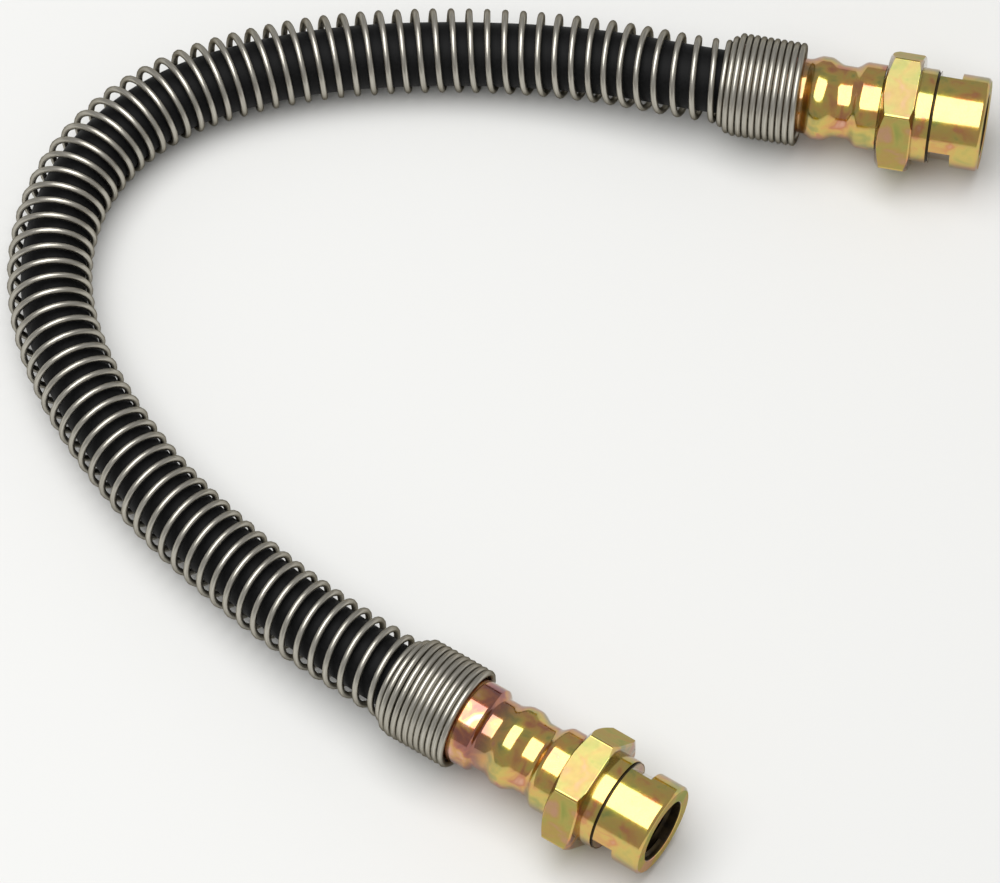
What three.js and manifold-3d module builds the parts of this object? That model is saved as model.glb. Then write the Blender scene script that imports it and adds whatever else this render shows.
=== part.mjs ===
// Spring-guarded hydraulic brake hose with a female fitting crimped on at each end, lying in an open loop.
// Millimetres, +Z up, standing on z = 0. +X is the near fitting's axis, out of its port.
// Along each fitting, u = 0 is the face of its hexagon on the hose side, and +u runs out of the port.

import * as THREE from 'three';
import { mergeVertices } from 'three/addons/utils/BufferGeometryUtils.js';
import Module from 'manifold-3d';

// Hose
const HOSE_OD = 10.2;
const HOSE_BORE = 3.2;

// Coil guard, wound from one wire: close-wound at both ends, open between
const WIRE_DIAMETER = 1.05;
const GUARD_CLEARANCE = 0.6; // hose to the inside of an open turn
const OPEN_TURNS = 80;
const CLOSED_TURNS = 12;
const CLOSED_GAP = 0.02; // between neighbouring close-wound turns
const TAPER_TURNS = 2.5; // the close-wound turns that narrow to the open diameter
const GRIP_CLEARANCE = 0.35; // ferrule's band to the inside of a close-wound turn
const NEAR_SETBACK = 18.1; // the guard's end to the near hexagon's rear face
const FAR_SETBACK = 12.7;

// Crimp ferrule, a steel sleeve pressed on to the hose and locked in the fitting's groove
const FERRULE_LENGTH = 23.5;
const BAND_OD = 13.7;
const BAND_LENGTH = 8.1;
const CRIMP_OD = 11.8;
const CRIMP_AT = 13.5;
const BULGE_OD = 13.4;
const BULGE_AT = 9.8;
const NECK_OD = 11.6;
const NECK_AT = 6;
const FLARE_OD = 13.8;
const FLARE_LENGTH = 3.2;
const MOUTH_ROUND = 0.5;
const HOSE_CLEARANCE = 0.2; // hose to the sleeve's bore

// Fitting body, turned from hexagon bar
const HEX_ACROSS_FLATS = 17.8;
const HEX_LENGTH = 5.5;
const HEX_CHAMFER_REAR = 1; // how far the rear chamfer runs along the corners
const HEX_CHAMFER_FRONT = 0.7;
const HEX_CHAMFER_ANGLE = THREE.MathUtils.degToRad(30);
const BARREL_OD = 15;
const COLLAR_LENGTH = 2.4; // the seat for the bracket's plate
const GROOVE_OD = 14.2;
const GROOVE_WIDTH = 0.4;
const BARREL_LENGTH = 8;
const BARREL_CHAMFER = 0.4;
const SLOT_WIDTH = 3.5; // the two slots for the spring clip that holds the fitting in its bracket
const SLOT_DEPTH = 1.4;
const SLOT_TILT = THREE.MathUtils.degToRad(18); // from the line through two corners of the hexagon

// Hose side of the fitting body, inside the ferrule
const SPIGOT_OD = 10;
const SPIGOT_LENGTH = 8.2;
const LOCK_OD = 8.8;
const LOCK_WIDTH = 2.4;
const BOSS_OD = 10.4;
const BOSS_LENGTH = 4.8;
const LOCK_CLEARANCE = 0.3;

// Female port, M10 x 1 with a conical seat for a flared pipe
const PORT_BORE = 8.9;
const PORT_DEPTH = 12;
const PORT_MOUTH = 10.4;
const SEAT_HALF_ANGLE = THREE.MathUtils.degToRad(59);
const PASSAGE = 2.4;

// Nipple, the tube that backs the hose under the crimp
const NIPPLE_BORE = 1.6;
const NIPPLE_LENGTH = 20;
const NIPPLE_SEATED = 6.4; // the length pressed into the fitting body
const NIPPLE_CLEARANCE = 0.2;
const NIPPLE_CHAMFER = 0.3;

// Lie of the loop. Its width lies across the near axis, between the rear faces of the two hexagons.
const LOOP_WIDTH = 127.6;

// Places: each hexagon's rear face on its axis in shares of the loop's width, its heading,
// and how far it is rolled from lying on a flat
const ENDS = [
  { name: 'near', x: 0.124, y: -0.511, heading: 0, roll: 9, guardSetback: NEAR_SETBACK },
  { name: 'far', x: -0.062, y: 0.489, heading: 22, roll: 8, guardSetback: FAR_SETBACK },
];

// The hose's free route from the near ferrule to the far one: x and y in shares of the loop's width,
// and how far it has risen from lying on the floor (0) to the fittings' axis (1)
const ROUTE = [
  [-0.284, -0.498, 0.55],
  [-0.396, -0.478, 0.22],
  [-0.504, -0.451, 0.04],
  [-0.604, -0.413, 0],
  [-0.692, -0.366, 0],
  [-0.766, -0.306, 0],
  [-0.82, -0.229, 0],
  [-0.848, -0.139, 0],
  [-0.844, -0.045, 0],
  [-0.812, 0.042, 0],
  [-0.757, 0.119, 0],
  [-0.685, 0.191, 0],
  [-0.599, 0.257, 0],
  [-0.503, 0.315, 0.14],
  [-0.397, 0.362, 0.52],
];
const STRAIGHT_RUN = 8.4; // how far the route stays on a fitting's axis past its ferrule

// Facets
const ROUND_SIDES = 28;
const HOSE_SIDES = 12;
const HOSE_STEPS = 44;
const GUARD_STEPS_PER_TURN = 10;
const CRIMP_STEPS = 4;

const COLOURS = {
  rubber: new THREE.MeshStandardMaterial({ color: 0x17181a, roughness: 0.55, metalness: 0 }),
  springSteel: new THREE.MeshStandardMaterial({ color: 0xa9a8a2, roughness: 0.35, metalness: 0.9 }),
  yellowZinc: new THREE.MeshStandardMaterial({ color: 0xc9a94e, roughness: 0.28, metalness: 0.95 }),
  copperyZinc: new THREE.MeshStandardMaterial({ color: 0xc08a4c, roughness: 0.3, metalness: 0.95 }),
  plainSteel: new THREE.MeshStandardMaterial({ color: 0x8f9092, roughness: 0.4, metalness: 0.9 }),
};

const wireRadius = WIRE_DIAMETER / 2;
const openRadius = HOSE_OD / 2 + GUARD_CLEARANCE + wireRadius;
const closedRadius = BAND_OD / 2 + GRIP_CLEARANCE + wireRadius;
const hexCorner = HEX_ACROSS_FLATS / Math.sqrt(3);
const floorHeight = openRadius + wireRadius;
const spigotEnd = -SPIGOT_LENGTH;
const hoseEnd = spigotEnd - LOCK_CLEARANCE;
const barrelStart = HEX_LENGTH + COLLAR_LENGTH + GROOVE_WIDTH;
const mouthFace = barrelStart + BARREL_LENGTH;

const wasm = await Module();
wasm.setup();

// Solids

function toSolid(geometry) {
  const bare = geometry.clone();
  bare.deleteAttribute('normal');
  bare.deleteAttribute('uv');
  const merged = mergeVertices(bare);
  return new wasm.Manifold(new wasm.Mesh({
    numProp: 3,
    vertProperties: merged.attributes.position.array,
    triVerts: Uint32Array.from(merged.index.array),
  }));
}

function toGeometry(solid) {
  const mesh = solid.getMesh();
  const geometry = new THREE.BufferGeometry();
  geometry.setAttribute('position', new THREE.BufferAttribute(mesh.vertProperties, 3));
  geometry.setIndex(new THREE.BufferAttribute(mesh.triVerts, 1));
  geometry.computeVertexNormals();
  return geometry;
}

// A ring turned about the u axis. Its outline is [u, diameter] points, along the outside and back inside.
function turned(outline) {
  const profile = [...outline, outline[0]].map(([u, diameter]) => new THREE.Vector2(diameter / 2, u));
  return new THREE.LatheGeometry(profile, ROUND_SIDES).rotateZ(-Math.PI / 2);
}

// Points that run smoothly from one [u, diameter] to the next, level at both.
function swell([u0, d0], [u1, d1]) {
  return Array.from({ length: CRIMP_STEPS }, (_, i) => {
    const t = (i + 1) / CRIMP_STEPS;
    return [u0 + (u1 - u0) * t, d0 + (d1 - d0) * (1 - Math.cos(Math.PI * t)) / 2];
  });
}

// Fitting body

function hexagon() {
  const shape = new THREE.Shape(Array.from({ length: 6 }, (_, i) => {
    const angle = i * Math.PI / 3;
    return new THREE.Vector2(hexCorner * Math.sin(angle), hexCorner * Math.cos(angle));
  }));
  const prism = new THREE.ExtrudeGeometry(shape, { depth: HEX_LENGTH, bevelEnabled: false });
  return toSolid(prism.rotateY(Math.PI / 2));
}

// The cone-ended ring that the hexagon's corners are chamfered to. Its hole lies within the turned wall.
function chamferRing() {
  const corner = 2 * hexCorner;
  const core = (PORT_BORE + BARREL_OD) / 2;
  const cut = (length) => corner - 2 * length / Math.tan(HEX_CHAMFER_ANGLE);
  return toSolid(turned([
    [0, core],
    [0, cut(HEX_CHAMFER_REAR)],
    [HEX_CHAMFER_REAR, corner],
    [HEX_LENGTH - HEX_CHAMFER_FRONT, corner],
    [HEX_LENGTH, cut(HEX_CHAMFER_FRONT)],
    [HEX_LENGTH, core],
  ]));
}

function turnedBody() {
  const grooveStart = HEX_LENGTH + COLLAR_LENGTH;
  const seatStart = mouthFace - PORT_DEPTH;
  const seatEnd = seatStart - (PORT_BORE - PASSAGE) / 2 / Math.tan(SEAT_HALF_ANGLE);
  const socket = HOSE_BORE;
  const socketEnd = spigotEnd + NIPPLE_SEATED + LOCK_CLEARANCE;
  const lockEnd = -BOSS_LENGTH;
  const lockStart = lockEnd - LOCK_WIDTH;
  return toSolid(turned([
    [spigotEnd, socket],
    [spigotEnd, SPIGOT_OD],
    [lockStart, SPIGOT_OD],
    [lockStart, LOCK_OD],
    [lockEnd, LOCK_OD],
    [lockEnd, BOSS_OD],
    [0, BOSS_OD],
    [0, BARREL_OD],
    [grooveStart, BARREL_OD],
    [grooveStart, GROOVE_OD],
    [barrelStart, GROOVE_OD],
    [barrelStart, BARREL_OD],
    [mouthFace - BARREL_CHAMFER, BARREL_OD],
    [mouthFace, BARREL_OD - 2 * BARREL_CHAMFER],
    [mouthFace, PORT_MOUTH],
    [mouthFace - (PORT_MOUTH - PORT_BORE) / 2, PORT_BORE],
    [seatStart, PORT_BORE],
    [seatEnd, PASSAGE],
    [socketEnd, PASSAGE],
    [socketEnd, socket],
  ]));
}

function clipSlot(side) {
  const cutter = new THREE.BoxGeometry(SLOT_WIDTH, BARREL_OD, BARREL_OD);
  cutter.translate(barrelStart + SLOT_WIDTH / 2, side * (BARREL_OD - SLOT_DEPTH), 0);
  return toSolid(cutter.rotateX(SLOT_TILT));
}

function fittingBody() {
  const flange = hexagon().intersect(chamferRing());
  const blank = turnedBody().add(flange);
  return toGeometry(blank.subtract(clipSlot(1)).subtract(clipSlot(-1)));
}

// Ferrule and nipple

function ferrule() {
  const mouth = -FERRULE_LENGTH;
  const band = [mouth + BAND_LENGTH, BAND_OD];
  const crimp = [-CRIMP_AT, CRIMP_OD];
  const bulge = [-BULGE_AT, BULGE_OD];
  const neck = [-NECK_AT, NECK_OD];
  const flare = [-FLARE_LENGTH, FLARE_OD];
  const bore = HOSE_OD + 2 * HOSE_CLEARANCE;
  const lipBore = LOCK_OD + 2 * LOCK_CLEARANCE;
  const flareBore = BOSS_OD + 2 * LOCK_CLEARANCE;
  const lipEnd = -BOSS_LENGTH - LOCK_CLEARANCE;
  const lipStart = -BOSS_LENGTH - LOCK_WIDTH + LOCK_CLEARANCE;
  return turned([
    [mouth, bore],
    [mouth, BAND_OD - 2 * MOUTH_ROUND],
    [mouth + MOUTH_ROUND, BAND_OD],
    band,
    ...swell(band, crimp),
    ...swell(crimp, bulge),
    ...swell(bulge, neck),
    ...swell(neck, flare),
    [-LOCK_CLEARANCE, FLARE_OD],
    [-LOCK_CLEARANCE, flareBore],
    [lipEnd, flareBore],
    [lipEnd, lipBore],
    [lipStart, lipBore],
    [lipStart, bore],
  ]);
}

function nipple() {
  const outside = HOSE_BORE - 2 * NIPPLE_CLEARANCE;
  const front = spigotEnd + NIPPLE_SEATED;
  const nose = front - NIPPLE_LENGTH;
  return turned([
    [nose, NIPPLE_BORE],
    [nose, outside - 2 * NIPPLE_CHAMFER],
    [nose + NIPPLE_CHAMFER, outside],
    [front, outside],
    [front, NIPPLE_BORE],
  ]);
}

// Hose and guard along the route

// The height of a fitting's axis when its hexagon stands on its lowest flat or corner.
function axisHeight(end) {
  return hexCorner * Math.cos(THREE.MathUtils.degToRad(30 - end.roll));
}

function pointOn(end, u) {
  const heading = THREE.MathUtils.degToRad(end.heading);
  const hexagonFace = new THREE.Vector3(end.x * LOOP_WIDTH, end.y * LOOP_WIDTH, axisHeight(end));
  return hexagonFace.add(new THREE.Vector3(u * Math.cos(heading), u * Math.sin(heading), 0));
}

function hoseRoute() {
  const straight = [hoseEnd, -FERRULE_LENGTH, -FERRULE_LENGTH - STRAIGHT_RUN];
  const [near, far] = ENDS;
  const free = ROUTE.map(([x, y, rise]) => {
    const nearer = y < 0 ? near : far;
    const height = THREE.MathUtils.lerp(floorHeight, axisHeight(nearer), rise);
    return new THREE.Vector3(x * LOOP_WIDTH, y * LOOP_WIDTH, height);
  });
  const points = [
    ...straight.map((u) => pointOn(near, u)),
    ...free,
    ...straight.toReversed().map((u) => pointOn(far, u)),
  ];
  const route = new THREE.CatmullRomCurve3(points, false, 'centripetal');
  route.arcLengthDivisions = 1000;
  return route;
}

// The wire's centreline: a right-handed helix round the route, from the near end to the far one.
class GuardWire extends THREE.Curve {
  constructor(route) {
    super();
    this.route = route;
    this.length = route.getLength();
    this.turns = OPEN_TURNS + 2 * CLOSED_TURNS;
    this.start = ENDS[0].guardSetback + hoseEnd + wireRadius;
    this.end = this.length - (ENDS[1].guardSetback + hoseEnd + wireRadius);
    this.closedRun = CLOSED_TURNS * (WIRE_DIAMETER + CLOSED_GAP);
    this.openPitch = (this.end - this.start - 2 * this.closedRun) / OPEN_TURNS;
  }

  distance(turn) {
    if (turn < CLOSED_TURNS) return this.start + this.closedRun * turn / CLOSED_TURNS;
    const left = this.turns - turn;
    if (left < CLOSED_TURNS) return this.end - this.closedRun * left / CLOSED_TURNS;
    return this.start + this.closedRun + (turn - CLOSED_TURNS) * this.openPitch;
  }

  frame(share) {
    const turn = share * this.turns;
    const u = this.distance(turn) / this.length;
    const along = this.route.getTangentAt(u);
    const side = new THREE.Vector3(0, 0, 1).cross(along).normalize();
    const up = along.clone().cross(side);
    const angle = 2 * Math.PI * turn;
    const outward = side.multiplyScalar(Math.cos(angle)).addScaledVector(up, Math.sin(angle));
    const intoOpen = Math.min(turn, this.turns - turn) - (CLOSED_TURNS - TAPER_TURNS);
    const narrowed = THREE.MathUtils.smoothstep(intoOpen, 0, TAPER_TURNS);
    const radius = THREE.MathUtils.lerp(closedRadius, openRadius, narrowed);
    return { centre: this.route.getPointAt(u), outward, radius };
  }

  getPoint(share, target = new THREE.Vector3()) {
    const { centre, outward, radius } = this.frame(share);
    return target.copy(centre).addScaledVector(outward, radius);
  }

  // Every step turns by the same angle, so that the turns have equal facets.
  getPointAt(share, target) {
    return this.getPoint(share, target);
  }

  // One side of the wire's section always faces outward from the hose.
  computeFrenetFrames(segments) {
    const shares = Array.from({ length: segments + 1 }, (_, i) => i / segments);
    const tangents = shares.map((share) => this.getTangent(share));
    const normals = shares.map((share, i) => {
      const { outward } = this.frame(share);
      return outward.addScaledVector(tangents[i], -outward.dot(tangents[i])).normalize();
    });
    const binormals = tangents.map((tangent, i) => tangent.clone().cross(normals[i]));
    return { tangents, normals, binormals };
  }
}

function ringPath(diameter, sides) {
  return Array.from({ length: sides }, (_, i) => {
    const angle = 2 * Math.PI * i / sides;
    return new THREE.Vector2(diameter / 2 * Math.cos(angle), diameter / 2 * Math.sin(angle));
  });
}

function hose(route) {
  const section = new THREE.Shape(ringPath(HOSE_OD, HOSE_SIDES));
  section.holes.push(new THREE.Path(ringPath(HOSE_BORE, HOSE_SIDES)));
  return new THREE.ExtrudeGeometry(section, { steps: HOSE_STEPS, extrudePath: route });
}

// The round wire is drawn four-sided, with the same cross-section area.
function springGuard(route) {
  const halfSide = wireRadius * Math.sqrt(Math.PI) / 2;
  const section = new THREE.Shape([
    new THREE.Vector2(-halfSide, -halfSide),
    new THREE.Vector2(halfSide, -halfSide),
    new THREE.Vector2(halfSide, halfSide),
    new THREE.Vector2(-halfSide, halfSide),
  ]);
  const wire = new GuardWire(route);
  return new THREE.ExtrudeGeometry(section, { steps: wire.turns * GUARD_STEPS_PER_TURN, extrudePath: wire });
}

// Assembly

function named(name, geometry, material) {
  const mesh = new THREE.Mesh(geometry, material);
  mesh.name = name;
  return mesh;
}

function endFitting(end) {
  const group = new THREE.Group();
  group.position.copy(pointOn(end, 0));
  group.rotation.set(THREE.MathUtils.degToRad(end.roll), 0, THREE.MathUtils.degToRad(end.heading), 'ZYX');
  group.add(named(`${end.name}_fitting`, fittingBody(), COLOURS.yellowZinc));
  group.add(named(`${end.name}_ferrule`, ferrule(), COLOURS.copperyZinc));
  group.add(named(`${end.name}_nipple`, nipple(), COLOURS.plainSteel));
  return group;
}

const route = hoseRoute();
const brakeHose = new THREE.Group();
brakeHose.add(named('hose', hose(route), COLOURS.rubber));
brakeHose.add(named('spring_guard', springGuard(route), COLOURS.springSteel));
ENDS.forEach((end) => brakeHose.add(endFitting(end)));

export default brakeHose;
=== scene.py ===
"""The looks of a spring-guarded hydraulic brake hose, lying in an open loop on a pale floor.

Metres throughout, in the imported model's frame: +Z is up, +X runs out of the near fitting's port.
Along each fitting, u = 0 is the face of its hexagon on the hose side, and +u runs out of the port.
"""

import logging  # noqa: E402
import math  # noqa: E402
from collections.abc import Callable, Mapping, Sequence  # noqa: E402
from dataclasses import dataclass, field  # noqa: E402
from enum import Enum  # noqa: E402
from typing import Any  # noqa: E402

import bpy  # noqa: E402
from mathutils import Euler, Matrix, Vector  # noqa: E402


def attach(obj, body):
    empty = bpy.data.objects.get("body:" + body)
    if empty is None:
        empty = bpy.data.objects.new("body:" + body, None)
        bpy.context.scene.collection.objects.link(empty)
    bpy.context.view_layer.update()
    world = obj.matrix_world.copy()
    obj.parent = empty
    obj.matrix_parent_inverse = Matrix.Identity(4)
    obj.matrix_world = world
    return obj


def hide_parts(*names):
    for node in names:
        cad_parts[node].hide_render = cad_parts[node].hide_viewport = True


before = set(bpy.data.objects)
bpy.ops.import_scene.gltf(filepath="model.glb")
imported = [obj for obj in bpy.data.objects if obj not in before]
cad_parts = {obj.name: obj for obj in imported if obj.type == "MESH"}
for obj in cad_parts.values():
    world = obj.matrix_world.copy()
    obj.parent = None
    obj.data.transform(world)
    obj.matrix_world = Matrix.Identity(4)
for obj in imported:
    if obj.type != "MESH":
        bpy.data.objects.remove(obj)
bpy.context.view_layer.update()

log = logging.getLogger("brake_hose")

MM = 0.001
Outline = list[tuple[float, float]]

WELD = 0.002 * MM  # points closer together than this become one

# Widths that several pieces share
HEX_ACROSS_FLATS = 17.8 * MM
HOSE_DIAMETER = 10.2 * MM
BAND_DIAMETER = 13.7 * MM


# ---------------------------------------------------------------------------------------------
# Places


@dataclass(frozen=True)
class Place:
    """Where one end fitting lies: its hexagon's rear face on its axis, and how it is turned.

    The roll is measured from lying on a flat. The guard's setback is how far short of the hexagon
    the guard ends.
    """

    name: str
    x: float
    y: float
    heading: float
    roll: float
    guard_setback: float
    hex_corner: float = HEX_ACROSS_FLATS / math.sqrt(3)  # from the axis to a corner

    @property
    def height(self) -> float:
        """The axis height of a hexagon that touches the floor with its lowest corner."""
        return self.hex_corner * math.cos(math.radians(30) - self.roll)

    @property
    def turn(self) -> Euler:
        """The turn from the fitting's own axes to the model's."""
        return Euler((self.roll, 0, self.heading), "XYZ")

    @property
    def matrix(self) -> Matrix:
        """The move from the fitting's own axes to the model's."""
        return Matrix.Translation((self.x, self.y, self.height)) @ self.turn.to_matrix().to_4x4()

    def at(self, u: float) -> Vector:
        """A point on the fitting's axis.

        Args:
            u: The distance from the hexagon's rear face, out of the port.

        Returns:
            The point in the model's frame.
        """
        return self.matrix @ Vector((u, 0, 0))


LOOP_WIDTH = 127.6 * MM  # between the hexagons' rear faces, across the near fitting's axis
NEAR = Place(
    "near",
    x=0.124 * LOOP_WIDTH,
    y=-0.511 * LOOP_WIDTH,
    heading=0,
    roll=math.radians(9),
    guard_setback=18.1 * MM,
)
FAR = Place(
    "far",
    x=-0.062 * LOOP_WIDTH,
    y=0.489 * LOOP_WIDTH,
    heading=math.radians(22),
    roll=math.radians(8),
    guard_setback=12.7 * MM,
)

# Where the hose and the ferrule end, along a fitting's u axis; how far the hose runs on straight
# from the ferrule's mouth; and how high its axis is where the guard lies on the floor
HOSE_END = -8.5 * MM
FERRULE_MOUTH = -23.5 * MM
STRAIGHT_RUN = 8.4 * MM
FLOOR_HEIGHT = 6.75 * MM

# The hose's free route: x and y in shares of the loop's width, and how far it has risen from lying
# on the floor to the fittings' axis
ROUTE = [
    (-0.284, -0.498, 0.55),
    (-0.396, -0.478, 0.22),
    (-0.504, -0.451, 0.04),
    (-0.604, -0.413, 0.0),
    (-0.692, -0.366, 0.0),
    (-0.766, -0.306, 0.0),
    (-0.820, -0.229, 0.0),
    (-0.848, -0.139, 0.0),
    (-0.844, -0.045, 0.0),
    (-0.812, 0.042, 0.0),
    (-0.757, 0.119, 0.0),
    (-0.685, 0.191, 0.0),
    (-0.599, 0.257, 0.0),
    (-0.503, 0.315, 0.14),
    (-0.397, 0.362, 0.52),
]


class Centreline:
    """The hose's centreline from spigot to spigot, a centripetal Catmull-Rom curve."""

    STEPS = 60  # between two points of the route

    def __init__(self) -> None:
        """Lays the curve through the route's points and measures it."""
        runs = [HOSE_END, FERRULE_MOUTH, FERRULE_MOUTH - STRAIGHT_RUN]
        free = []
        for x, y, rise in ROUTE:
            lift = rise * ((NEAR if y < 0 else FAR).height - FLOOR_HEIGHT)
            free.append(Vector((x * LOOP_WIDTH, y * LOOP_WIDTH, FLOOR_HEIGHT + lift)))
        points = [NEAR.at(u) for u in runs] + free + [FAR.at(u) for u in reversed(runs)]
        self.points = self._curve(points)
        self.distances = [0.0]
        for a, b in zip(self.points, self.points[1:]):
            self.distances.append(self.distances[-1] + (b - a).length)
        self.length = self.distances[-1]

    def _curve(self, points: Sequence[Vector]) -> list[Vector]:
        """Fills the gaps between the route's points.

        Args:
            points: The points that the curve passes through.

        Returns:
            Closely spaced points on the curve.
        """
        padded = [2 * points[0] - points[1], *points, 2 * points[-1] - points[-2]]
        filled: list[Vector] = []
        for p0, p1, p2, p3 in zip(padded, padded[1:], padded[2:], padded[3:]):
            d0, d1, d2 = ((b - a).length ** 0.5 for a, b in ((p0, p1), (p1, p2), (p2, p3)))
            t1 = ((p1 - p0) / d0 - (p2 - p0) / (d0 + d1) + (p2 - p1) / d1) * d1
            t2 = ((p2 - p1) / d1 - (p3 - p1) / (d1 + d2) + (p3 - p2) / d2) * d1
            for i in range(self.STEPS):
                t = i / self.STEPS
                filled.append(
                    p1 + t1 * t
                    + (-3 * p1 + 3 * p2 - 2 * t1 - t2) * t**2
                    + (2 * p1 - 2 * p2 + t1 + t2) * t**3
                )
        return [*filled, points[-1].copy()]

    def at(self, distance: float) -> Vector:
        """The point at a distance along the curve.

        Args:
            distance: Metres from the near end, within the curve's length.

        Returns:
            The point in the model's frame.
        """
        low, high = 0, len(self.distances) - 1
        while high - low > 1:
            middle = (low + high) // 2
            low, high = (middle, high) if self.distances[middle] <= distance else (low, middle)
        share = (distance - self.distances[low]) / (self.distances[high] - self.distances[low])
        return self.points[low].lerp(self.points[high], share)

    def axes(self, distance: float) -> tuple[Vector, Vector, Vector]:
        """The curve's direction, its left side and its upper side at a distance along it.

        Args:
            distance: Metres from the near end.

        Returns:
            Three unit vectors: along, left and up.
        """
        reach = 0.4 * MM
        low, high = max(distance - reach, 0.0), min(distance + reach, self.length)
        along = (self.at(high) - self.at(low)).normalized()
        left = Vector((0, 0, 1)).cross(along).normalized()
        return along, left, along.cross(left)


# ---------------------------------------------------------------------------------------------
# Bench work: the hand moves that every piece is made with


class Cut(Enum):
    """What a tool does to the piece it meets."""

    REMOVE = "DIFFERENCE"
    KEEP_COMMON = "INTERSECT"
    ADD = "UNION"


def smoothstep(low: float, high: float, value: float) -> float:
    """A smooth ramp from 0 to 1.

    Args:
        low: Where the ramp starts.
        high: Where it ends.
        value: The value looked up.

    Returns:
        The ramp's height at the value.
    """
    t = min(max((value - low) / (high - low), 0.0), 1.0)
    return t * t * (3 - 2 * t)


def select_only(piece: bpy.types.Object) -> None:
    """Deselects everything, then selects one piece and makes it active.

    Args:
        piece: The piece.
    """
    for other in bpy.context.selected_objects:
        other.select_set(False)
    piece.select_set(True)
    bpy.context.view_layer.objects.active = piece


def new_primitive(name: str, add: Callable[[], Any]) -> bpy.types.Object:
    """Adds a primitive, names it, and applies its place.

    Args:
        name: The object's name.
        add: The call that adds the primitive.

    Returns:
        The new object, at the origin, unturned and unscaled.
    """
    for other in bpy.context.selected_objects:
        other.select_set(False)
    add()
    piece = bpy.context.active_object
    piece.name = piece.data.name = name
    bpy.ops.object.transform_apply(location=True, rotation=True, scale=True)
    return piece


def turned(name: str, outline: Outline, sides: int = 96) -> bpy.types.Object:
    """Turns a ring about the u axis, as on a lathe.

    Args:
        name: The object's name.
        outline: [u, diameter] points along the outside and back inside. The last joins the first.
        sides: How many sides a turn has.

    Returns:
        The closed ring.
    """
    start, diameter = outline[0]
    piece = new_primitive(
        name,
        lambda: bpy.ops.mesh.primitive_circle_add(
            vertices=sides,
            radius=diameter / 2,
            location=(start, 0, 0),
            rotation=(0, math.pi / 2, 0),
        ),
    )
    bpy.ops.object.mode_set(mode="EDIT")
    bpy.ops.mesh.select_all(action="SELECT")
    for (u0, d0), (u1, d1) in zip(outline, [*outline[1:], outline[0]]):
        bpy.ops.mesh.extrude_region_move(TRANSFORM_OT_translate={"value": (u1 - u0, 0, 0)})
        bpy.ops.transform.resize(value=(1, d1 / d0, d1 / d0), center_override=(u1, 0, 0))
    bpy.ops.mesh.select_all(action="SELECT")
    bpy.ops.mesh.remove_doubles(threshold=WELD)
    bpy.ops.mesh.normals_make_consistent(inside=False)
    bpy.ops.object.mode_set(mode="OBJECT")
    return piece


def eased(outline: Outline, ease: float) -> Outline:
    """Breaks the sharp corners of an outline with small rounds.

    Args:
        outline: A closed outline of [u, diameter] points.
        ease: How far each round reaches along its two edges, at most.

    Returns:
        The outline with three points at each sharp corner.
    """
    nearly_straight = math.radians(160)
    most_of_edge = 0.4
    points = [Vector((u, d / 2)) for u, d in outline]
    result: Outline = []
    for before, corner, after in zip([points[-1], *points], points, [*points[1:], points[0]]):
        back, on = before - corner, after - corner
        if back.angle(on) > nearly_straight:
            result.append((corner.x, 2 * corner.y))
            continue
        a = corner + back.normalized() * min(ease, back.length * most_of_edge)
        b = corner + on.normalized() * min(ease, on.length * most_of_edge)
        middle = (a + 2 * corner + b) / 4
        result += [(p.x, 2 * p.y) for p in (a, middle, b)]
    return result


def blend(start: tuple[float, float], end: tuple[float, float], steps: int = 10) -> Outline:
    """Points of a wall that leaves one [u, diameter] point level and meets another level.

    Args:
        start: The point before the first.
        end: The last point.
        steps: How many points there are.

    Returns:
        The points after the start.
    """
    (u0, d0), (u1, d1) = start, end
    points = []
    for i in range(1, steps + 1):
        t = i / steps
        points.append((u0 + (u1 - u0) * t, d0 + (d1 - d0) * smoothstep(0, 1, t)))
    return points


def work(piece: bpy.types.Object, tool: bpy.types.Object, cut: Cut) -> None:
    """Uses one solid on another, and clears the tool away.

    Args:
        piece: The solid that is changed.
        tool: The solid that changes it.
        cut: What the tool does.
    """
    select_only(piece)
    modifier = piece.modifiers.new(cut.name.lower(), "BOOLEAN")
    modifier.operation = cut.value
    modifier.solver = "EXACT"
    modifier.object = tool
    bpy.ops.object.modifier_apply(modifier=modifier.name)
    bpy.data.objects.remove(tool)


def smooth(piece: bpy.types.Object, angle: float = 32) -> None:
    """Shades a piece smooth, with its broad faces true right up to their edges.

    Args:
        piece: The piece.
        angle: The turn in degrees past which an edge stays sharp.
    """
    select_only(piece)
    bpy.ops.object.shade_smooth_by_angle(angle=math.radians(angle))
    weighted = piece.modifiers.new("weighted_normal", "WEIGHTED_NORMAL")
    weighted.keep_sharp = True
    weighted.weight = 70
    bpy.ops.object.modifier_apply(modifier=weighted.name)


def copied(piece: bpy.types.Object, name: str) -> bpy.types.Object:
    """Copies a piece with a mesh of its own.

    Args:
        piece: The piece that is copied.
        name: The copy's name.

    Returns:
        The copy.
    """
    copy = piece.copy()
    copy.data = piece.data.copy()
    copy.name = copy.data.name = name
    bpy.context.scene.collection.objects.link(copy)
    return copy


def put(piece: bpy.types.Object, place: Place) -> None:
    """Moves a piece from its fitting's own axes to its place, and applies the move.

    Args:
        piece: The piece.
        place: The end that it goes to.
    """
    piece.location = place.at(0)
    piece.rotation_euler = place.turn
    select_only(piece)
    bpy.ops.object.transform_apply(location=True, rotation=True, scale=True)


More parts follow.
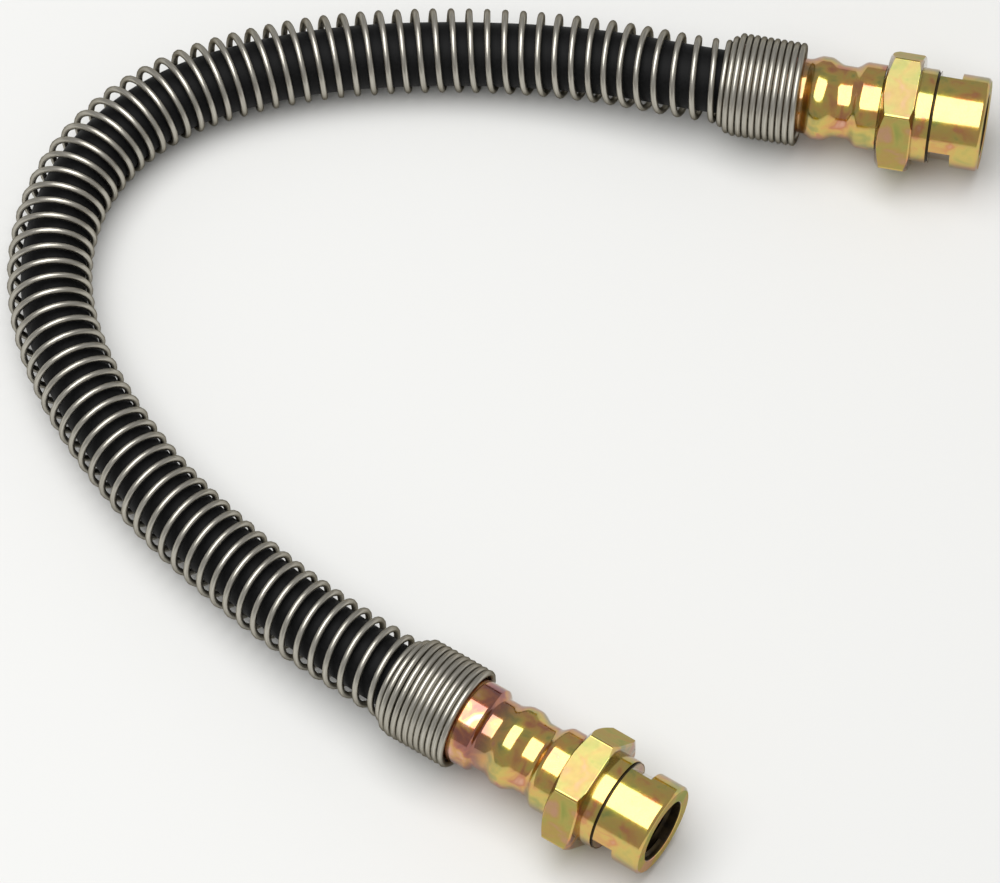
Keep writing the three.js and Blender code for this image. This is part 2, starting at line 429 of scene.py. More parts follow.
def swept(
    name: str,
    centres: Sequence[Vector],
    outwards: Sequence[Vector],
    radius: float,
    sides: int,
    bore: float = 0.0,
) -> bpy.types.Object:
    """Makes a round rod or tube along a path, with a UV map in metres along and round it.

    Args:
        name: The object's name.
        centres: The path's points.
        outwards: For each point, the direction in which the seam of the section faces.
        radius: The outside radius.
        sides: How many sides the section has.
        bore: The inside radius, or 0 for a solid rod.

    Returns:
        The closed rod or tube.
    """
    vertices: list[Vector] = []
    rings = [radius, bore] if bore else [radius]
    angles = [2 * math.pi * i / sides for i in range(sides)]
    last = len(centres) - 1
    for i, centre in enumerate(centres):
        along = (centres[min(i + 1, last)] - centres[max(i - 1, 0)]).normalized()
        out = (outwards[i] - along * outwards[i].dot(along)).normalized()
        side = along.cross(out)
        for ring in rings:
            vertices += [centre + (out * math.cos(a) + side * math.sin(a)) * ring for a in angles]
    stride = sides * len(rings)
    faces: list[tuple[int, ...]] = []
    marks: list[tuple[tuple[float, float], ...]] = []
    run = 0.0
    for i in range(last):
        step = (centres[i + 1] - centres[i]).length
        for k, ring in enumerate(rings):
            for j in range(sides):
                a, b = i * stride + k * sides + j, i * stride + k * sides + (j + 1) % sides
                v0, v1 = (2 * math.pi * ring * s / sides for s in (j, j + 1))
                face = (a, b, b + stride, a + stride)
                mark = ((run, v0), (run, v1), (run + step, v1), (run + step, v0))
                faces.append(face if k == 0 else face[::-1])
                marks.append(mark if k == 0 else mark[::-1])
        run += step
    for i, turn in ((0, -1), (last, 1)):
        start = i * stride
        if bore:
            for j in range(sides):
                a, b = start + j, start + (j + 1) % sides
                face = (a, b, b + sides, a + sides)
                faces.append(face[::turn])
                marks.append(tuple((vertices[v] - centres[i]).to_2d().to_tuple() for v in face))
        else:
            faces.append(tuple(range(start, start + sides))[::turn])
            marks.append(((0.0, 0.0),) * sides)
    mesh = bpy.data.meshes.new(name)
    mesh.from_pydata(vertices, [], faces)
    layer = mesh.uv_layers.new(name="UVMap")
    layer.data.foreach_set("uv", [c for mark in marks for uv in mark for c in uv])
    mesh.update()
    piece = bpy.data.objects.new(name, mesh)
    bpy.context.scene.collection.objects.link(piece)
    return piece


# ---------------------------------------------------------------------------------------------
# Finishes


def linear(code: str) -> tuple[float, float, float, float]:
    """Turns an sRGB colour to the linear one that a shader takes.

    Args:
        code: The colour in hex, such as "#c9a94e".

    Returns:
        Red, green, blue and an alpha of 1.
    """
    channels = [int(code[i : i + 2], 16) / 255 for i in (1, 3, 5)]
    r, g, b = (c / 12.92 if c <= 0.04045 else ((c + 0.055) / 1.055) ** 2.4 for c in channels)
    return (r, g, b, 1.0)


def add_node(
    tree: bpy.types.NodeTree,
    kind: str,
    inputs: Mapping[str | int, Any] | None = None,
    **settings: Any,
) -> bpy.types.Node:
    """Adds a node with its settings and links.

    Args:
        tree: The node tree it goes into.
        kind: The node's type name.
        inputs: Socket name or number to a value, or to the socket that is linked to it.
        **settings: The node's own properties.

    Returns:
        The node.
    """
    node = tree.nodes.new(kind)
    for name, value in settings.items():
        setattr(node, name, value)
    for key, value in (inputs or {}).items():
        if isinstance(value, bpy.types.NodeSocket):
            tree.links.new(value, node.inputs[key])
        else:
            node.inputs[key].default_value = value
    return node


def add_ramp(
    tree: bpy.types.NodeTree, factor: bpy.types.NodeSocket, stops: Sequence[tuple[float, str]]
) -> bpy.types.NodeSocket:
    """Adds a colour ramp.

    Args:
        tree: The node tree it goes into.
        factor: What drives the ramp.
        stops: Each stop's position and sRGB hex colour.

    Returns:
        The ramp's colour socket.
    """
    node = add_node(tree, "ShaderNodeValToRGB", {"Fac": factor})
    elements = node.color_ramp.elements
    while len(elements) < len(stops):
        elements.new(1.0)
    for element, (position, code) in zip(elements, stops):
        element.position = position
        element.color = linear(code)
    return node.outputs["Color"]


def new_material(name: str) -> tuple[bpy.types.Material, bpy.types.NodeTree, bpy.types.Node]:
    """Starts a material.

    Args:
        name: The material's name.

    Returns:
        The material, its empty tree and its surface shader, already linked to the output.
    """
    material = bpy.data.materials.new(name)
    material.use_nodes = True
    tree = material.node_tree
    tree.nodes.clear()
    shader = add_node(tree, "ShaderNodeBsdfPrincipled")
    add_node(tree, "ShaderNodeOutputMaterial", {"Surface": shader.outputs["BSDF"]})
    return material, tree, shader


@dataclass(frozen=True)
class PassivatedZinc:
    """Bright zinc plate, passivated in yellow chromate, on turned, drawn or pressed steel.

    The chromate's clear film gives gold with patches of green and pink under a whiter gloss, and
    the cutting marks below it show as fine rings.
    """

    name: str
    stops: tuple[tuple[float, str], ...]
    roughness: float = 0.16
    gloss: float = 0.85
    film_roughness: float = 0.08
    film_ior: float = 2.2  # between zinc oxide's and chromium oxide's
    edge: str = "#97863e"  # the colour at a low angle, where light runs further through the film
    patch: float = 3.8 * MM
    haze_grain: float = 0.9 * MM
    haze_spread: tuple[float, float] = (-0.05, 0.09)  # what the haze adds to the roughness
    ring_pitch: float = 0.35 * MM  # feed marks are finer; this is as coarse as it needs to show
    ring_depth: float = 0.03 * MM
    relief: float = 0.12
    heat: tuple[float, float] | None = None  # on the axis: where the copper tint is full, and gone
    heat_stops: tuple[tuple[float, str], ...] = ()

    def dress(self, place: Place) -> bpy.types.Material:
        """Makes the material for a piece at one end.

        Args:
            place: The end whose axis the rings go round.

        Returns:
            The material.
        """
        material, tree, shader = new_material(f"{self.name}_{place.name}")
        spot = add_node(tree, "ShaderNodeTexCoord").outputs["Object"]
        own = add_node(
            tree,
            "ShaderNodeMapping",
            {"Vector": spot, "Location": place.at(0), "Rotation": place.turn},
            vector_type="TEXTURE",
        ).outputs["Vector"]
        along = add_node(tree, "ShaderNodeSeparateXYZ", {"Vector": own}).outputs["X"]
        patches = add_node(
            tree,
            "ShaderNodeTexNoise",
            {
                "Vector": own,
                "Scale": 1 / self.patch,
                "Detail": 2.5,
                "Roughness": 0.5,
                "Distortion": 0.6,
            },
        ).outputs["Fac"]
        colour = add_ramp(tree, patches, self.stops)
        if self.heat:
            share = add_node(
                tree,
                "ShaderNodeMapRange",
                {"Value": along, "From Min": self.heat[1], "From Max": self.heat[0]},
                interpolation_type="SMOOTHSTEP",
            ).outputs["Result"]
            colour = add_node(
                tree,
                "ShaderNodeMix",
                {"Factor": share, "A": colour, "B": add_ramp(tree, patches, self.heat_stops)},
                data_type="RGBA",
            ).outputs["Result"]
        tree.links.new(colour, shader.inputs["Base Color"])
        shader.inputs["Metallic"].default_value = 1.0
        shader.inputs["Specular Tint"].default_value = linear(self.edge)
        shader.inputs["Coat Weight"].default_value = self.gloss
        shader.inputs["Coat Roughness"].default_value = self.film_roughness
        shader.inputs["Coat IOR"].default_value = self.film_ior
        haze = add_node(
            tree, "ShaderNodeTexNoise", {"Vector": own, "Scale": 1 / self.haze_grain, "Detail": 3.0}
        ).outputs["Fac"]
        least, most = (self.roughness + change for change in self.haze_spread)
        dulled = add_node(
            tree, "ShaderNodeMapRange", {"Value": haze, "To Min": least, "To Max": most}
        ).outputs["Result"]
        tree.links.new(dulled, shader.inputs["Roughness"])
        rings = add_node(
            tree,
            "ShaderNodeTexNoise",
            {"W": along, "Scale": 1 / self.ring_pitch, "Detail": 2.0},
            noise_dimensions="1D",
        ).outputs["Fac"]
        height = add_node(
            tree, "ShaderNodeMath", {0: rings, 1: haze}, operation="ADD"
        ).outputs["Value"]
        bump = add_node(
            tree,
            "ShaderNodeBump",
            {"Height": height, "Strength": self.relief, "Distance": self.ring_depth},
        )
        tree.links.new(bump.outputs["Normal"], shader.inputs["Normal"])
        return material


@dataclass(frozen=True)
class PaintedBoreShade:
    """Painted shade for the bore, its thread and the groove: dull, dark steel colours with a trace
    of gold, darker than the plated outside to stand for the shade in these recesses.
    """

    name: str = "painted_shade_in_bore_and_groove"
    # dark colours that stand for the shade in the recesses
    stops: tuple[tuple[float, str], ...] = ((0.3, "#2a2218"), (0.7, "#4d3f24"))
    metallic: float = 0.8  # not fully metallic, so the painted shade stays dull
    roughness: float = 0.5
    shade_mottle_width: float = 1.5 * MM
    shade_mottle_depth: float = 0.05 * MM

    def dress(self) -> bpy.types.Material:
        """Makes the material.

        Returns:
            The material.
        """
        material, tree, shader = new_material(self.name)
        spot = add_node(tree, "ShaderNodeTexCoord").outputs["Object"]
        # a noise that mottles the painted shade's colour and relief
        shade_mottle = add_node(
            tree,
            "ShaderNodeTexNoise",
            {"Vector": spot, "Scale": 1 / self.shade_mottle_width, "Detail": 4.0},
        ).outputs["Fac"]
        tree.links.new(add_ramp(tree, shade_mottle, self.stops), shader.inputs["Base Color"])
        shader.inputs["Metallic"].default_value = self.metallic
        shader.inputs["Roughness"].default_value = self.roughness
        bump = add_node(
            tree, "ShaderNodeBump", {"Height": shade_mottle, "Strength": 0.2, "Distance": self.shade_mottle_depth}
        )
        tree.links.new(bump.outputs["Normal"], shader.inputs["Normal"])
        return material


@dataclass(frozen=True)
class DrawnSteel:
    """Spring wire or plain tube, drawn through a die: grey, with fine lines along its length."""

    name: str
    stops: tuple[tuple[float, str], ...]
    roughness: float
    edge: str = "#615c52"  # the colour at a low angle, dulled by the drawing soap left on it
    grain: tuple[float, float] = (6 * MM, 0.15 * MM)  # the length and width of a drawing line
    grain_depth: float = 0.02 * MM
    grain_spread: tuple[float, float] = (0.08, -0.06)  # what the lines add to the roughness

    def dress(self) -> bpy.types.Material:
        """Makes the material.

        Returns:
            The material.
        """
        material, tree, shader = new_material(self.name)
        run = add_node(tree, "ShaderNodeTexCoord").outputs["UV"]
        stretched = add_node(
            tree,
            "ShaderNodeMapping",
            {"Vector": run, "Scale": (1 / self.grain[0], 1 / self.grain[1], 1)},
        ).outputs["Vector"]
        lines = add_node(
            tree, "ShaderNodeTexNoise", {"Vector": stretched, "Scale": 1.0, "Detail": 3.0}
        ).outputs["Fac"]
        tree.links.new(add_ramp(tree, lines, self.stops), shader.inputs["Base Color"])
        shader.inputs["Metallic"].default_value = 1.0
        shader.inputs["Specular Tint"].default_value = linear(self.edge)
        between, on_line = (self.roughness + change for change in self.grain_spread)
        dulled = add_node(
            tree, "ShaderNodeMapRange", {"Value": lines, "To Min": between, "To Max": on_line}
        ).outputs["Result"]
        tree.links.new(dulled, shader.inputs["Roughness"])
        bump = add_node(
            tree,
            "ShaderNodeBump",
            {"Height": lines, "Strength": 0.15, "Distance": self.grain_depth},
        )
        tree.links.new(bump.outputs["Normal"], shader.inputs["Normal"])
        return material


@dataclass(frozen=True)
class HoseRubber:
    """Extruded EPDM cover: black and slightly satin, with faint die lines and a little dust."""

    name: str = "extruded_epdm_rubber"
    stops: tuple[tuple[float, str], ...] = ((0.35, "#050505"), (0.7, "#0f0f10"))
    roughness: tuple[float, float] = (0.5, 0.7)
    specular: float = 0.16  # the satin skin gives back less than a polished one
    die_line: tuple[float, float] = (9 * MM, 0.5 * MM)  # the length and width of a die line
    dust_width: float = 0.6 * MM
    line_depth: float = 0.05 * MM

    def dress(self) -> bpy.types.Material:
        """Makes the material.

        Returns:
            The material.
        """
        material, tree, shader = new_material(self.name)
        run = add_node(tree, "ShaderNodeTexCoord").outputs["UV"]
        die = add_node(
            tree,
            "ShaderNodeMapping",
            {"Vector": run, "Scale": (1 / self.die_line[0], 1 / self.die_line[1], 1)},
        ).outputs["Vector"]
        lines = add_node(
            tree, "ShaderNodeTexNoise", {"Vector": die, "Scale": 1.0, "Detail": 2.0}
        ).outputs["Fac"]
        dust = add_node(
            tree, "ShaderNodeTexNoise", {"Vector": run, "Scale": 1 / self.dust_width, "Detail": 4.0}
        ).outputs["Fac"]
        tree.links.new(add_ramp(tree, dust, self.stops), shader.inputs["Base Color"])
        least, most = self.roughness
        dulled = add_node(
            tree, "ShaderNodeMapRange", {"Value": dust, "To Min": least, "To Max": most}
        ).outputs["Result"]
        tree.links.new(dulled, shader.inputs["Roughness"])
        shader.inputs["Specular IOR Level"].default_value = self.specular
        relief = add_node(
            tree, "ShaderNodeMath", {0: lines, 1: dust}, operation="ADD"
        ).outputs["Value"]
        bump = add_node(
            tree,
            "ShaderNodeBump",
            {"Height": relief, "Strength": 0.25, "Distance": self.line_depth},
        )
        tree.links.new(bump.outputs["Normal"], shader.inputs["Normal"])
        return material


GOLD = PassivatedZinc(
    "yellow_passivated_zinc",
    ((0.32, "#9fa026"), (0.44, "#cbb030"), (0.54, "#d2a62e"), (0.64, "#cd7e22"), (0.74, "#d89c7c")),
)
DRAWN_GOLD = PassivatedZinc(
    "yellow_passivated_zinc_on_drawn_flats",
    ((0.30, "#a3a84e"), (0.44, "#bcaf58"), (0.57, "#c3a556"), (0.72, "#ca9c7a")),
    roughness=0.58,
    gloss=0.25,
    relief=0.3,
)
COPPERY = PassivatedZinc(
    "coppery_passivated_zinc",
    ((0.32, "#9c9a22"), (0.43, "#ccaf2c"), (0.53, "#d6a02a"), (0.64, "#c06a1e"), (0.75, "#d89c7c")),
    heat=(-15.5 * MM, -9 * MM),
    heat_stops=((0.38, "#8c3206"), (0.47, "#ae5612"), (0.55, "#c98e24"), (0.66, "#d89a86")),
)
SPRING_WIRE = DrawnSteel(
    "drawn_spring_steel", ((0.3, "#a5a196"), (0.7, "#c8c4ba")), roughness=0.32
)
PLAIN_STEEL = DrawnSteel(
    "plain_turned_steel", ((0.3, "#77787a"), (0.7, "#9a9b9d")), roughness=0.38
)


# ---------------------------------------------------------------------------------------------
# Pieces


@dataclass
class RubberHose:
    """The rubber hose, which lies against the guard on the inner and lower side of the bend."""

    route: Centreline
    diameter: float = HOSE_DIAMETER
    bore: float = 3.2 * MM
    lean: float = 0.52 * MM
    sag: float = 0.2 * MM
    lean_zone: tuple[float, float] = (22 * MM, 60 * MM)  # from each end: its start, and where full
    steps: int = 200
    sides: int = 40
    path: list[Vector] = field(default_factory=list)

    def build(self) -> bpy.types.Object:
        """Makes the tube along the route.

        Returns:
            The hose.
        """
        outwards = []
        for i in range(self.steps + 1):
            distance = self.route.length * i / self.steps
            _, left, up = self.route.axes(distance)
            from_end = min(distance, self.route.length - distance)
            free = smoothstep(*self.lean_zone, from_end)
            self.path.append(self.route.at(distance) - (left * self.lean + up * self.sag) * free)
            outwards.append(up)
        piece = swept(
            "rubber_hose", self.path, outwards, self.diameter / 2, self.sides, self.bore / 2
        )
        smooth(piece, 40)
        piece.data.materials.append(HoseRubber().dress())
        return piece

    def declare(self, piece: bpy.types.Object) -> None:
        """Attaches the hose to the root body and hides the model's own hose.

        Args:
            piece: The hose.
        """
        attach(piece, "root")
        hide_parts("hose")


@dataclass
class CoilGuard:
    """The coil guard: one wire, close-wound over each ferrule and open between."""

    route: Centreline
    wire: float = 1.05 * MM
    open_gap: float = 0.6 * MM  # to the hose
    closed_gap: float = 0.35 * MM  # to the ferrule's band
    open_turns: int = 80
    closed_turns: int = 12
    closed_pitch: float = 1.07 * MM
    taper_turns: float = 2.5
    steps_per_turn: int = 32
    sides: int = 10

    def build(self) -> bpy.types.Object:
        """Winds the wire round the route.

        Returns:
            The guard.
        """
        open_radius = HOSE_DIAMETER / 2 + self.open_gap + self.wire / 2
        closed_radius = BAND_DIAMETER / 2 + self.closed_gap + self.wire / 2
        turns = self.open_turns + 2 * self.closed_turns
        start = NEAR.guard_setback + HOSE_END + self.wire / 2
        end = self.route.length - (FAR.guard_setback + HOSE_END + self.wire / 2)
        closed_run = self.closed_turns * self.closed_pitch
        open_pitch = (end - start - 2 * closed_run) / self.open_turns
        centres, outwards = [], []
        for i in range(turns * self.steps_per_turn + 1):
            turn = i / self.steps_per_turn
            left_over = turns - turn
            if turn < self.closed_turns:
                distance = start + turn * self.closed_pitch
            elif left_over < self.closed_turns:
                distance = end - left_over * self.closed_pitch
            else:
                distance = start + closed_run + (turn - self.closed_turns) * open_pitch
            _, left, up = self.route.axes(distance)
            angle = 2 * math.pi * (turn - 0.25)  # so both ends of the wire lie underneath
            out = left * math.cos(angle) + up * math.sin(angle)
            into_open = min(turn, left_over) - (self.closed_turns - self.taper_turns)
            narrowed = smoothstep(0, self.taper_turns, into_open)
            radius = closed_radius + (open_radius - closed_radius) * narrowed
            centres.append(self.route.at(distance) + out * radius)
            outwards.append(out)
        piece = swept("coil_guard", centres, outwards, self.wire / 2, self.sides)
        smooth(piece, 60)
        piece.data.materials.append(SPRING_WIRE.dress())
        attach(piece, "root")
        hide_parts("spring_guard")
        return piece


@dataclass
class FittingBody:
    """The body of an end fitting, turned from hexagon bar, with the port's thread cut in it."""

    across_flats: float = HEX_ACROSS_FLATS
    hex_length: float = 5.5 * MM
    chamfer_rear: float = 1.0 * MM
    chamfer_front: float = 0.7 * MM
    corner_round: float = 0.3 * MM
    barrel: float = 15 * MM
    collar: float = 2.4 * MM
    groove: float = 14.2 * MM
    groove_width: float = 0.4 * MM
    barrel_length: float = 8 * MM
    barrel_chamfer: float = 0.4 * MM
    slot_width: float = 3.5 * MM
    slot_depth: float = 1.4 * MM
    slot_tilt: float = math.radians(18)
    spigot: float = 10 * MM
    spigot_length: float = 8.2 * MM
    lock: float = 8.8 * MM
    lock_width: float = 2.4 * MM
    boss: float = 10.4 * MM
    boss_length: float = 4.8 * MM
    thread_major: float = 10 * MM
    thread_minor: float = 8.9 * MM
    thread_pitch: float = 1 * MM
    thread_turns: int = 9
    thread_half_width: float = 0.46 * MM
    thread_start: float = 1.9 * MM  # from the seat
    run_out: tuple[float, float] = (0.6 * MM, 1.2 * MM)  # from the seat: the step to the thread
    port_mouth: float = 10.4 * MM
    port_depth: float = 12 * MM
    seat_angle: float = math.radians(59)  # half the drill point's cone
    passage: float = 2.4 * MM
    socket: float = 3.2 * MM
    socket_length: float = 6.7 * MM
    ease: float = 0.12 * MM

    @property
    def barrel_start(self) -> float:
        """Where the slotted barrel starts."""
        return self.hex_length + self.collar + self.groove_width

    @property
    def mouth(self) -> float:
        """Where the port's end face is."""
        return self.barrel_start + self.barrel_length

    def _turned_part(self) -> bpy.types.Object:
        """Turns everything but the hexagon.

        Returns:
            The turned ring.
        """
        spigot_end = -self.spigot_length
        lock_end = -self.boss_length
        lock_start = lock_end - self.lock_width
        groove_start = self.hex_length + self.collar
        seat_start = self.mouth - self.port_depth
        seat_end = seat_start - (self.thread_minor - self.passage) / 2 / math.tan(self.seat_angle)
        socket_end = spigot_end + self.socket_length
        countersink = (self.port_mouth - self.thread_major) / 2
        outline = [
            (spigot_end, self.socket),
            (spigot_end, self.spigot),
            (lock_start, self.spigot),
            (lock_start, self.lock),
            (lock_end, self.lock),
            (lock_end, self.boss),
            (0, self.boss),
            (0, self.barrel),
            (groove_start, self.barrel),
            (groove_start, self.groove),
            (self.barrel_start, self.groove),
            (self.barrel_start, self.barrel),
            (self.mouth - self.barrel_chamfer, self.barrel),
            (self.mouth, self.barrel - 2 * self.barrel_chamfer),
            (self.mouth, self.port_mouth),
            (self.mouth - countersink, self.thread_major),
            (seat_start + self.run_out[1], self.thread_major),
            (seat_start + self.run_out[0], self.thread_minor),
            (seat_start, self.thread_minor),
            (seat_end, self.passage),
            (socket_end, self.passage),
            (socket_end, self.socket),
        ]
        return turned("fitting_body", eased(outline, self.ease), 120)

    def _hexagon(self) -> bpy.types.Object:
        """Cuts the hexagon and chamfers its corners to a cone at both ends.

        Returns:
            The hexagon, with a hole that lies within the turned wall.
        """
        corner = 2 * self.across_flats / math.sqrt(3)
        bar = new_primitive(
            "hexagon_bar",
            lambda: bpy.ops.mesh.primitive_cylinder_add(
                vertices=6,
                radius=corner / 2,
                depth=self.hex_length,
                location=(self.hex_length / 2, 0, 0),
                rotation=(0, math.pi / 2, 0),
            ),
        )
        bpy.ops.object.mode_set(mode="EDIT")
        bpy.ops.mesh.select_all(action="DESELECT")
        bpy.ops.object.mode_set(mode="OBJECT")
        for edge in bar.data.edges:
            a, b = (bar.data.vertices[v].co for v in edge.vertices)
            edge.select = abs(a.x - b.x) > self.hex_length / 2
        bpy.ops.object.mode_set(mode="EDIT")
        bpy.ops.mesh.select_mode(type="EDGE")
        bpy.ops.mesh.bevel(offset=self.corner_round, segments=4)
        bpy.ops.mesh.select_mode(type="VERT")
        bpy.ops.object.mode_set(mode="OBJECT")
        core = (self.thread_major + self.barrel) / 2
        slope = math.tan(math.radians(30))
        past = 0.1 * MM  # the cones run on this far, clear of the corners
        cone = turned(
            "chamfer_cone",
            [
                (0, core),
                (0, corner - 2 * self.chamfer_rear / slope),
                (self.chamfer_rear + past, corner + 2 * past / slope),
                (self.hex_length - self.chamfer_front - past, corner + 2 * past / slope),
                (self.hex_length, corner - 2 * self.chamfer_front / slope),
                (self.hex_length, core),
            ],
            160,
        )
        work(bar, cone, Cut.KEEP_COMMON)
        return bar

    def _slot_cutter(self, side: int) -> bpy.types.Object:
        """Makes the block that mills one clip slot.

        Args:
            side: 1 or -1, for the two sides.

        Returns:
            The block.
        """
        tilt = self.slot_tilt
        out = side * (self.barrel - self.slot_depth)
        return new_primitive(
            "slot_cutter",
            lambda: bpy.ops.mesh.primitive_cube_add(
                size=1,
                location=(
                    self.barrel_start + self.slot_width / 2,
                    out * math.cos(tilt),
                    out * math.sin(tilt),
                ),
                rotation=(tilt, 0, 0),
                scale=(self.slot_width, self.barrel, self.barrel),
            ),
        )

    def _thread(self) -> bpy.types.Object:
        """Winds the port's thread as one ridge.

        Returns:
            The ridge, whose foot lies in the bore's wall.
        """
        start = self.mouth - self.port_depth + self.thread_start
        ridge = new_primitive(
            "thread_ridge",
            lambda: bpy.ops.mesh.primitive_circle_add(
                vertices=3, radius=1, location=(0, 0, 0), rotation=(math.pi / 2, 0, 0)
            ),
        )
        sunk = 0.06 * MM  # how far the ridge's foot reaches into the wall
        foot, crest = self.thread_major / 2 + sunk, self.thread_minor / 2 + 0.02 * MM
        corners = [(foot, -self.thread_half_width), (crest, 0.0), (foot, self.thread_half_width)]
        for vertex, (radius, lift) in zip(ridge.data.vertices, corners):
            vertex.co = (radius, 0, start + lift)
        select_only(ridge)
        screw = ridge.modifiers.new("screw", "SCREW")
        screw.axis = "Z"
        screw.screw_offset = self.thread_pitch
        screw.iterations = self.thread_turns
        screw.steps = screw.render_steps = 48
        bpy.ops.object.modifier_apply(modifier=screw.name)
        bpy.ops.object.mode_set(mode="EDIT")
        bpy.ops.mesh.select_all(action="SELECT")
        bpy.ops.mesh.remove_doubles(threshold=WELD)
        bpy.ops.mesh.fill_holes(sides=3)
        bpy.ops.mesh.normals_make_consistent(inside=False)
        bpy.ops.object.mode_set(mode="OBJECT")
        ridge.rotation_euler = (0, math.pi / 2, 0)
        bpy.ops.object.transform_apply(location=True, rotation=True, scale=True)
        return ridge

    def build(self) -> bpy.types.Object:
        """Makes the whole body on its own axis.

        Returns:
            The body, with painted shade for the bore and groove on its second material, flats and
            end face on its third.
        """
        body = self._turned_part()
        work(body, self._hexagon(), Cut.ADD)
        for side in (1, -1):
            work(body, self._slot_cutter(side), Cut.REMOVE)
        ridge = self._thread()
        select_only(body)
        ridge.select_set(True)
        bpy.ops.object.join()
        # Faces are told apart by their distances from the axis and along it, with small margins
        seat_depth = 4 * MM
        seat = self.mouth - self.port_depth - seat_depth
        groove_start = self.hex_length + self.collar - 0.01 * MM
        groove_end = self.barrel_start - 0.01 * MM
        flat_area = 4 * MM**2
        for polygon in body.data.polygons:
            u = polygon.center.x
            reach = math.hypot(polygon.center.y, polygon.center.z)
            inside = reach < self.port_mouth / 2 - 0.15 * MM and u > seat
            in_groove = reach < self.barrel / 2 - 0.1 * MM and groove_start < u < groove_end
            on_flat = reach > self.barrel / 2 + 0.3 * MM and polygon.area > flat_area
            on_rim = polygon.normal.x > 0.9 and u > self.mouth - 0.1 * MM
            # bore, thread and groove take the second material, which is painted shade
            if inside or in_groove:
                polygon.material_index = 1
            elif on_flat or on_rim:
                polygon.material_index = 2
        smooth(body)
        return body


@dataclass
class CrimpFerrule:
    """The steel sleeve that is crimped on to the hose.

    Crimp, bulge, neck and lip are each given by where they start and end, and their diameter.
    """

    length: float = -FERRULE_MOUTH
    band: float = BAND_DIAMETER
    band_length: float = 8.1 * MM
    crimp: tuple[float, float, float] = (-14.4 * MM, -12.7 * MM, 11.8 * MM)
    bulge: tuple[float, float, float] = (-10.3 * MM, -9.3 * MM, 13.4 * MM)
    neck: tuple[float, float, float] = (-6.9 * MM, -5.2 * MM, 11.6 * MM)
    flare: tuple[float, float] = (-3.2 * MM, 13.8 * MM)
    mouth_round: float = 0.5 * MM
    bore: float = 10.6 * MM
    lip: tuple[float, float, float] = (-6.9 * MM, -5.1 * MM, 9.4 * MM)
    flare_bore: float = 11.0 * MM
    end: float = -0.3 * MM
    ease: float = 0.12 * MM

    def build(self) -> bpy.types.Object:
        """Turns the sleeve on its own axis.

        Returns:
            The ferrule.
        """
        start = (-self.length + self.band_length, self.band)
        walls = [start]
        for low, high, diameter in (self.crimp, self.bulge, self.neck):
            walls += [*blend(walls[-1], (low, diameter)), (high, diameter)]
        lip_start, lip_end, lip_bore = self.lip
        outline = [
            (-self.length, self.bore),
            (-self.length, self.band - 2 * self.mouth_round),
            (-self.length + self.mouth_round, self.band),
            *walls,
            *blend(walls[-1], self.flare),
            (self.end, self.flare[1]),
            (self.end, self.flare_bore),
            (lip_end, self.flare_bore),
            (lip_end, lip_bore),
            (lip_start, lip_bore),
            (lip_start, self.bore),
        ]
        piece = turned("crimp_ferrule", eased(outline, self.ease), 120)
        smooth(piece)
        return piece


@dataclass
class EndFittings:
    """Both ends' fittings: each body, its ferrule and the nipple hidden in them."""

    body: FittingBody = field(default_factory=FittingBody)
    ferrule: CrimpFerrule = field(default_factory=CrimpFerrule)

    def build(self) -> list[bpy.types.Object]:
        """Models one body and one ferrule, and puts a copy of each at both ends.

        Returns:
            The four pieces.
        """
        models = {
            ("fitting", "yellow_zinc"): (self.body.build(), GOLD),
            ("ferrule", "yellow_zinc_crimp"): (self.ferrule.build(), COPPERY),
        }
        # the painted shade for each body's bore, thread and groove
        bore = PaintedBoreShade().dress()
        pieces = []
        for (word, slot), (model, finish) in models.items():
            for place in (NEAR, FAR):
                piece = copied(model, f"{place.name}_{word}_turned")
                put(piece, place)
                piece.data.materials.append(finish.dress(place))
                if word == "fitting":
                    piece.data.materials.append(bore)
                    piece.data.materials.append(DRAWN_GOLD.dress(place))
                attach(piece, "root")
                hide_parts(f"{place.name}_{word}")
                pieces.append(piece)
            bpy.data.objects.remove(model)
        steel = PLAIN_STEEL.dress()
        for place in (NEAR, FAR):
            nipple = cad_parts[f"{place.name}_nipple"]
            nipple.data.materials.clear()
            nipple.data.materials.append(steel)
        return pieces


# ---------------------------------------------------------------------------------------------
# Studio


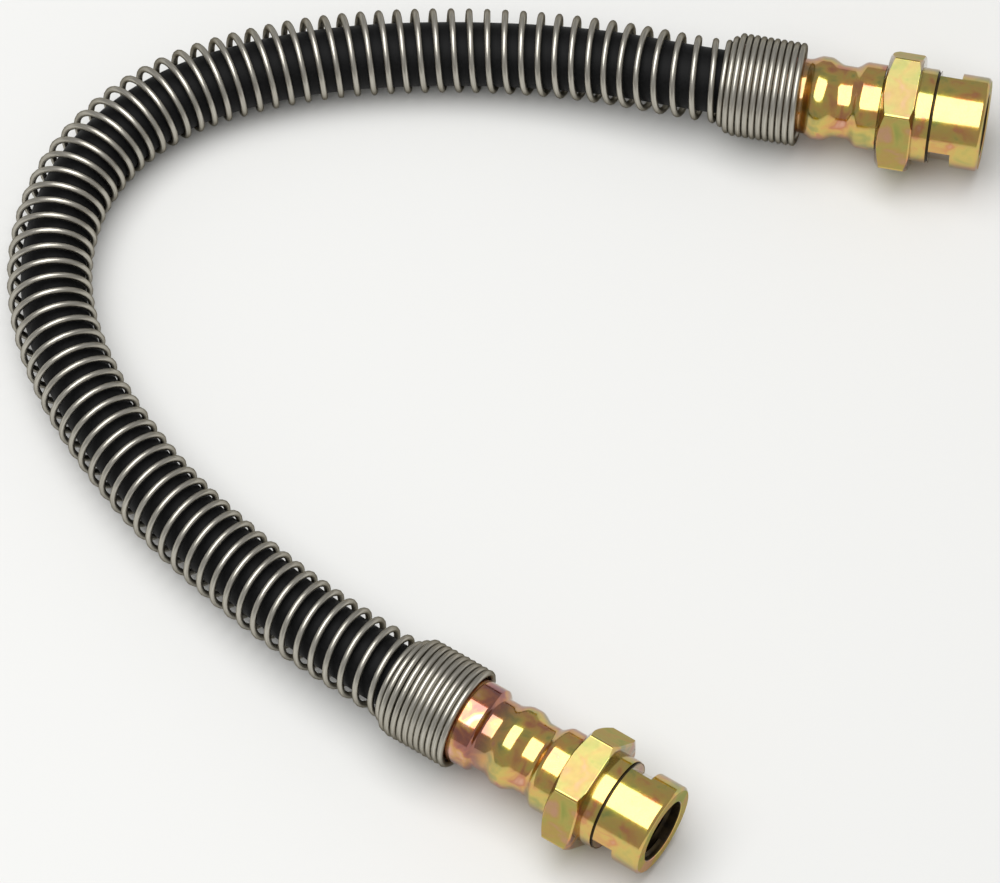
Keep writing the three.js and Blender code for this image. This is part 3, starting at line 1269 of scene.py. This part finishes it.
@dataclass
class Studio:
    """The pale floor, one large soft box overhead, the pale surroundings and the camera."""

    target: Vector = field(default_factory=lambda: Vector((-26.33, -20.51, 7)) * MM)
    distance: float = 1.3
    azimuth: float = 33.07
    elevation: float = 60.0
    lens: float = 301.9
    sensor: float = 36
    floor_size: float = 6
    floor_colour: str = "#e2e2e0"
    box_size: tuple[float, float] = (0.8, 1.13)
    box_place: Vector = field(default_factory=lambda: Vector((-0.131, -0.168, 0.9)))
    box_radiance: float = 2.65
    surround: float = 0.4

    def camera(self) -> None:
        """Sets the camera at the photograph's angle."""
        a, e = math.radians(self.azimuth), math.radians(self.elevation)
        back = Vector((math.sin(a) * math.cos(e), -math.cos(a) * math.cos(e), math.sin(e)))
        data = bpy.data.cameras.new("camera")
        data.lens = self.lens
        data.sensor_width = self.sensor
        data.clip_start, data.clip_end = 0.01, 20
        camera = bpy.data.objects.new("camera", data)
        camera.location = self.target + back * self.distance
        camera.rotation_euler = (-back).to_track_quat("-Z", "Y").to_euler()
        bpy.context.scene.collection.objects.link(camera)
        bpy.context.scene.camera = camera

    def floor(self) -> bpy.types.Object:
        """Lays the pale floor.

        Returns:
            The floor.
        """
        floor = new_primitive(
            "floor", lambda: bpy.ops.mesh.primitive_plane_add(size=self.floor_size)
        )
        material, tree, shader = new_material("matt_white_card")
        shader.inputs["Base Color"].default_value = linear(self.floor_colour)
        shader.inputs["Roughness"].default_value = 0.9
        shader.inputs["Specular IOR Level"].default_value = 0.1
        floor.data.materials.append(material)
        return floor

    def lamps(self) -> None:
        """Hangs the soft box and sets the surroundings."""
        width, length = self.box_size
        data = bpy.data.lights.new("soft_box", "AREA")
        data.shape = "RECTANGLE"
        data.size, data.size_y = width, length
        data.energy = 4 * self.box_radiance * width * length  # the lamp's watts at that radiance
        lamp = bpy.data.objects.new("soft_box", data)
        lamp.location = self.target + self.box_place
        bpy.context.scene.collection.objects.link(lamp)
        world = bpy.data.worlds.new("surroundings")
        bpy.context.scene.world = world
        world.use_nodes = True
        tree = world.node_tree
        tree.nodes.clear()
        background = add_node(
            tree,
            "ShaderNodeBackground",
            {"Color": (1.0, 1.0, 1.0, 1.0), "Strength": self.surround},
        )
        add_node(tree, "ShaderNodeOutputWorld", {"Surface": background.outputs["Background"]})


def main() -> None:
    """Builds the scene: camera, hose, guard and fittings, then the floor and the lamps."""
    logging.basicConfig(level=logging.INFO, format="%(message)s")
    bpy.context.scene.view_settings.view_transform = "Standard"
    studio = Studio()
    studio.camera()
    route = Centreline()
    hose = RubberHose(route)
    tube = hose.build()
    guard = CoilGuard(route).build()
    ends = EndFittings().build()
    hose.declare(tube)
    studio.floor()
    studio.lamps()
    log.info("hose: %.1f mm from spigot to spigot", route.length / MM)
    for piece in [tube, guard, *ends]:
        log.info("%s: %d faces", piece.name, len(piece.data.polygons))


if __name__ == "__main__":
    main()
